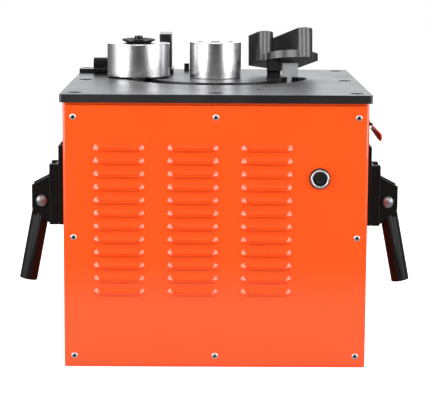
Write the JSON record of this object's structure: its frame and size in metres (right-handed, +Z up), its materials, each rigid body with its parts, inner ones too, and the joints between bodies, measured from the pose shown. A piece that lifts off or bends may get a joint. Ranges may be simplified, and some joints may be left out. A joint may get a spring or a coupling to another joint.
{
  "type": "electric table-top rebar bender",
  "caption": "Motor-driven table-top rebar bender with a louvred orange cabinet, slotted steel table, rollers, fork, fence and folding carry handles.",
  "frame": {"origin": "on the floor under the middle of the cabinet, in the plane of its flat bottom", "axes": "+X to the operator's right, +Y to the back, +Z up; the louvred front faces -Y"},
  "size_m": [0.6228, 0.4989, 0.4837],
  "materials": {
    "orange_paint": "semi-gloss powder coat",
    "table_steel": "blackened satin steel",
    "black_steel": "semi-gloss black",
    "polished_steel": "polished",
    "zinc_steel": "zinc plated",
    "gear_steel": "machined, oiled",
    "bronze": "machined",
    "iron_frame": "grey primer",
    "motor_paint": "satin",
    "black_plastic": "matt",
    "red_plastic": "gloss",
    "dark_red_plastic": "gloss",
    "green_plastic": "gloss"
  },
  "bodies": {
    "cabinet": {"cabinet_shell": "orange_paint", "base_plate": "orange_paint", "front_panel": "orange_paint", "top_plate": "table_steel", "plate_bolt_1": "black_steel", "plate_bolt_2": "black_steel", "plate_bolt_3": "black_steel", "plate_bolt_4": "black_steel", "plate_bolt_5": "black_steel", "plate_bolt_6": "black_steel", "plate_bolt_7": "black_steel", "plate_bolt_8": "black_steel", "centre_pin": "zinc_steel", "thrust_ring": "bronze", "gear_cradle": "iron_frame", "gearbox_housing": "iron_frame", "motor_body": "motor_paint", "motor_cowl": "motor_paint", "terminal_box": "black_plastic", "pedal_socket_ring": "black_plastic", "pedal_socket_insert": "zinc_steel", "switch_body": "black_plastic", "cable_gland": "black_plastic", "control_box": "black_plastic", "fork_post": "black_steel", "fence_base": "black_steel", "fence_bolt_1": "black_steel", "fence_bolt_2": "black_steel", "tail_peg": "black_steel", "limit_switch": "black_plastic", "right_handle_mount": "black_steel", "right_handle_bracket": "black_steel", "right_handle_bolt": "black_steel", "right_handle_nut": "black_steel", "left_handle_mount": "black_steel", "left_handle_bracket": "black_steel", "left_handle_bolt": "black_steel", "left_handle_nut": "black_steel"},
    "turning_arm": {"turning_gear": "gear_steel", "gear_bush": "bronze", "bending_pin": "zinc_steel", "keeper_washer": "zinc_steel", "keeper_screw": "black_steel"},
    "big_roller": {"bending_roller": "polished_steel"},
    "middle_roller": {"centre_roller": "polished_steel"},
    "pinion": {"drive_pinion": "gear_steel"},
    "swivel": {"fork_swivel": "black_steel"},
    "fork_block": {"fork": "black_steel"},
    "jaw": {"fence_jaw": "black_steel"},
    "screw": {"fence_screw": "black_steel"},
    "limit_paddle": {"limit_lever": "zinc_steel"},
    "right_handle": {"right_handle_tube": "black_steel", "right_handle_plug": "black_plastic"},
    "left_handle": {"left_handle_tube": "black_steel", "left_handle_plug": "black_plastic"},
    "flap": {"switch_flap": "red_plastic", "flap_pusher": "dark_red_plastic"},
    "stop": {"stop_button": "red_plastic"},
    "start": {"start_button": "green_plastic"}
  },
  "joints": [
    {"name": "bend_turn", "type": "hinge", "parent": "cabinet", "child": "turning_arm", "pos_m": [0, 0.0665, 0.365], "axis": [0, 0, 1], "range_deg": [0, 120]},
    {"name": "pinion_turn", "type": "hinge", "parent": "cabinet", "child": "pinion", "pos_m": [0, -0.0635, 0.365], "axis": [0, 0, 1], "range_deg": [-360, 0]},
    {"name": "big_roller_spin", "type": "hinge", "parent": "turning_arm", "child": "big_roller", "pos_m": [-0.1235, 0.0665, 0.43], "axis": [0, 0, 1], "continuous": true},
    {"name": "centre_roller_spin", "type": "hinge", "parent": "cabinet", "child": "middle_roller", "pos_m": [0, 0.0665, 0.43], "axis": [0, 0, 1], "continuous": true},
    {"name": "fork_swing", "type": "hinge", "parent": "cabinet", "child": "swivel", "pos_m": [0.094, 0.0665, 0.41], "axis": [0, 0, 1], "range_deg": [-12, 20]},
    {"name": "fork_tip", "type": "hinge", "parent": "swivel", "child": "fork_block", "pos_m": [0.094, 0.0665, 0.4172], "axis": [1, 0, 0], "range_deg": [0, 18]},
    {"name": "fence_slide", "type": "slide", "parent": "cabinet", "child": "jaw", "axis": [1, 0, 0], "range_m": [-0.022, 0]},
    {"name": "screw_turn", "type": "hinge", "parent": "jaw", "child": "screw", "pos_m": [-0.15, 0.131, 0.416], "axis": [1, 0, 0], "range_deg": [-3960, 0]},
    {"name": "limit_push", "type": "hinge", "parent": "cabinet", "child": "limit_paddle", "pos_m": [0.117, 0.067, 0.382], "axis": [-1, 0, 0], "range_deg": [0, 7], "stiffness_Nm_per_rad": 0.05, "springref_deg": -5.73},
    {"name": "right_handle_swing", "type": "hinge", "parent": "cabinet", "child": "right_handle", "pos_m": [0.273, 0, 0.213], "axis": [0, -1, 0], "range_deg": [0, 75]},
    {"name": "left_handle_swing", "type": "hinge", "parent": "cabinet", "child": "left_handle", "pos_m": [-0.273, 0, 0.213], "axis": [0, 1, 0], "range_deg": [0, 75]},
    {"name": "flap_swing", "type": "hinge", "parent": "cabinet", "child": "flap", "pos_m": [0.227, -0.176, 0.356], "axis": [0, -1, 0], "range_deg": [-16, 60]},
    {"name": "stop_press", "type": "slide", "parent": "cabinet", "child": "stop", "axis": [-1, 0, 0], "range_m": [0, 0.0015], "stiffness_N_per_m": 900, "springref_m": -0.001},
    {"name": "start_press", "type": "slide", "parent": "cabinet", "child": "start", "axis": [-1, 0, 0], "range_m": [0, 0.0015], "stiffness_N_per_m": 900, "springref_m": -0.001}
  ],
  "couplings": [
    {"joint": "pinion_turn", "follows": "bend_turn", "ratio": -3},
    {"joint": "screw_turn", "follows": "fence_slide", "rad_per_m": 3141.6}
  ]
}
